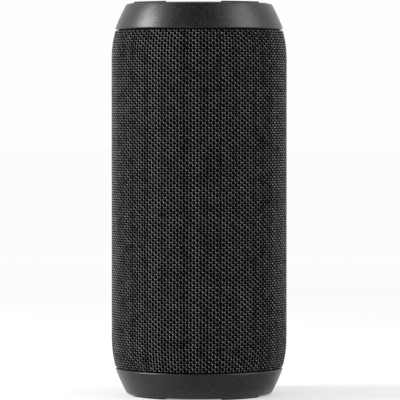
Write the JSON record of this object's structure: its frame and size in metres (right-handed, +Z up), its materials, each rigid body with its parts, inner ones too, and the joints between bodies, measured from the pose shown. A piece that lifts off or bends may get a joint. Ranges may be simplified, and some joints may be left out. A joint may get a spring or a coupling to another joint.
{
  "type": "portable speaker",
  "caption": "Upright cylindrical battery loudspeaker with tapered metallic end caps, a knitted mesh cloth sleeve, rubber end rings, and a rear spine with push buttons and a hinged port cover.",
  "frame": {"origin": "middle of the circle that the lower bumper stands on", "axes": "+Z up the cylinder to the upper cap; -Y is the front, which the drivers face; +Y is the back, with the spine"},
  "size_m": [0.08, 0.08, 0.1786],
  "materials": {
    "cap_paint": "satin metallic paint, fine flake",
    "bumper_rubber": "matt rubber",
    "radiator_rubber": "soft rubber",
    "radiator_disc": "satin",
    "mesh_cloth": "open warp knit",
    "shell_plastic": "moulded",
    "spine_rubber": "fine matt texture",
    "button_rubber": "satin",
    "board": "solder mask",
    "components": "tin plate",
    "socket_metal": "satin",
    "jack_body": "moulded",
    "led": "frosted",
    "steel": "zinc plate",
    "basket_steel": "black coat",
    "magnet": "ferrite",
    "cone_paper": "treated paper",
    "coil": "enamelled copper",
    "spider_cloth": "treated cotton",
    "cell_wrap": "shrink wrap"
  },
  "bodies": {
    "housing": {"fabric_sleeve": "mesh_cloth", "grille_shell": "shell_plastic", "spine": "spine_rubber", "port_cover_pin": "steel", "port_housing": "shell_plastic", "port_board": "board", "usb_socket": "socket_metal", "aux_jack": "jack_body", "dome_switches": "components", "button_board": "board", "status_led": "led", "light_pipe": "led", "front_enclosure": "shell_plastic", "rear_enclosure": "shell_plastic", "enclosure_gasket": "radiator_rubber", "enclosure_screws": "steel", "cap_screws": "steel", "driver_screws": "steel", "board_screws": "steel", "driver_gaskets": "radiator_rubber", "main_board": "board", "board_components": "components", "battery_cells": "cell_wrap", "battery_holder": "shell_plastic", "lower_cap": "cap_paint", "lower_bumper": "bumper_rubber", "lower_radiator_frame": "shell_plastic", "lower_radiator_surround": "radiator_rubber", "lower_driver_basket": "basket_steel", "lower_driver_front_plate": "steel", "lower_driver_magnet": "magnet", "lower_driver_yoke": "steel", "lower_driver_surround": "radiator_rubber", "lower_driver_spider": "spider_cloth", "upper_cap": "cap_paint", "upper_bumper": "bumper_rubber", "upper_radiator_frame": "shell_plastic", "upper_radiator_surround": "radiator_rubber", "upper_driver_basket": "basket_steel", "upper_driver_front_plate": "steel", "upper_driver_magnet": "magnet", "upper_driver_yoke": "steel", "upper_driver_surround": "radiator_rubber", "upper_driver_spider": "spider_cloth"},
    "power_button": {"power_button": "button_rubber"},
    "pairing_button": {"pairing_button": "button_rubber"},
    "volume_up_button": {"volume_up_button": "button_rubber"},
    "play_button": {"play_button": "button_rubber"},
    "volume_down_button": {"volume_down_button": "button_rubber"},
    "port_cover": {"port_cover": "spine_rubber"},
    "lower_radiator": {"lower_radiator_cone": "radiator_disc", "lower_radiator_weight": "steel"},
    "lower_cone": {"lower_driver_cone": "cone_paper", "lower_driver_voice_coil": "coil", "lower_driver_dust_cap": "cone_paper"},
    "upper_radiator": {"upper_radiator_cone": "radiator_disc", "upper_radiator_weight": "steel"},
    "upper_cone": {"upper_driver_cone": "cone_paper", "upper_driver_voice_coil": "coil", "upper_driver_dust_cap": "cone_paper"}
  },
  "joints": [
    {"name": "power_press", "type": "slide", "parent": "housing", "child": "power_button", "axis": [0, -1, 0], "range_m": [0, 0.0007], "stiffness_N_per_m": 1500},
    {"name": "pairing_press", "type": "slide", "parent": "housing", "child": "pairing_button", "axis": [0, -1, 0], "range_m": [0, 0.0007], "stiffness_N_per_m": 1500},
    {"name": "volume_up_press", "type": "slide", "parent": "housing", "child": "volume_up_button", "axis": [0, -1, 0], "range_m": [0, 0.0007], "stiffness_N_per_m": 1500},
    {"name": "play_press", "type": "slide", "parent": "housing", "child": "play_button", "axis": [0, -1, 0], "range_m": [0, 0.0007], "stiffness_N_per_m": 1500},
    {"name": "volume_down_press", "type": "slide", "parent": "housing", "child": "volume_down_button", "axis": [0, -1, 0], "range_m": [0, 0.0007], "stiffness_N_per_m": 1500},
    {"name": "port_cover_hinge", "type": "hinge", "parent": "housing", "child": "port_cover", "pos_m": [0, 0.0379, 0.0305], "axis": [-1, 0, 0], "range_deg": [0, 90]},
    {"name": "lower_radiator_travel", "type": "slide", "parent": "housing", "child": "lower_radiator", "axis": [0, 0, -1], "range_m": [-0.0025, 0.0025], "stiffness_N_per_m": 900, "deforming": ["lower_radiator_surround"]},
    {"name": "upper_radiator_travel", "type": "slide", "parent": "housing", "child": "upper_radiator", "axis": [0, 0, 1], "range_m": [-0.0025, 0.0025], "stiffness_N_per_m": 900, "deforming": ["upper_radiator_surround"]},
    {"name": "lower_cone_travel", "type": "slide", "parent": "housing", "child": "lower_cone", "axis": [0, -1, 0], "range_m": [-0.0018, 0.0018], "stiffness_N_per_m": 1500, "deforming": ["lower_driver_surround", "lower_driver_spider"]},
    {"name": "upper_cone_travel", "type": "slide", "parent": "housing", "child": "upper_cone", "axis": [0, -1, 0], "range_m": [-0.0018, 0.0018], "stiffness_N_per_m": 1500, "deforming": ["upper_driver_surround", "upper_driver_spider"]}
  ]
}
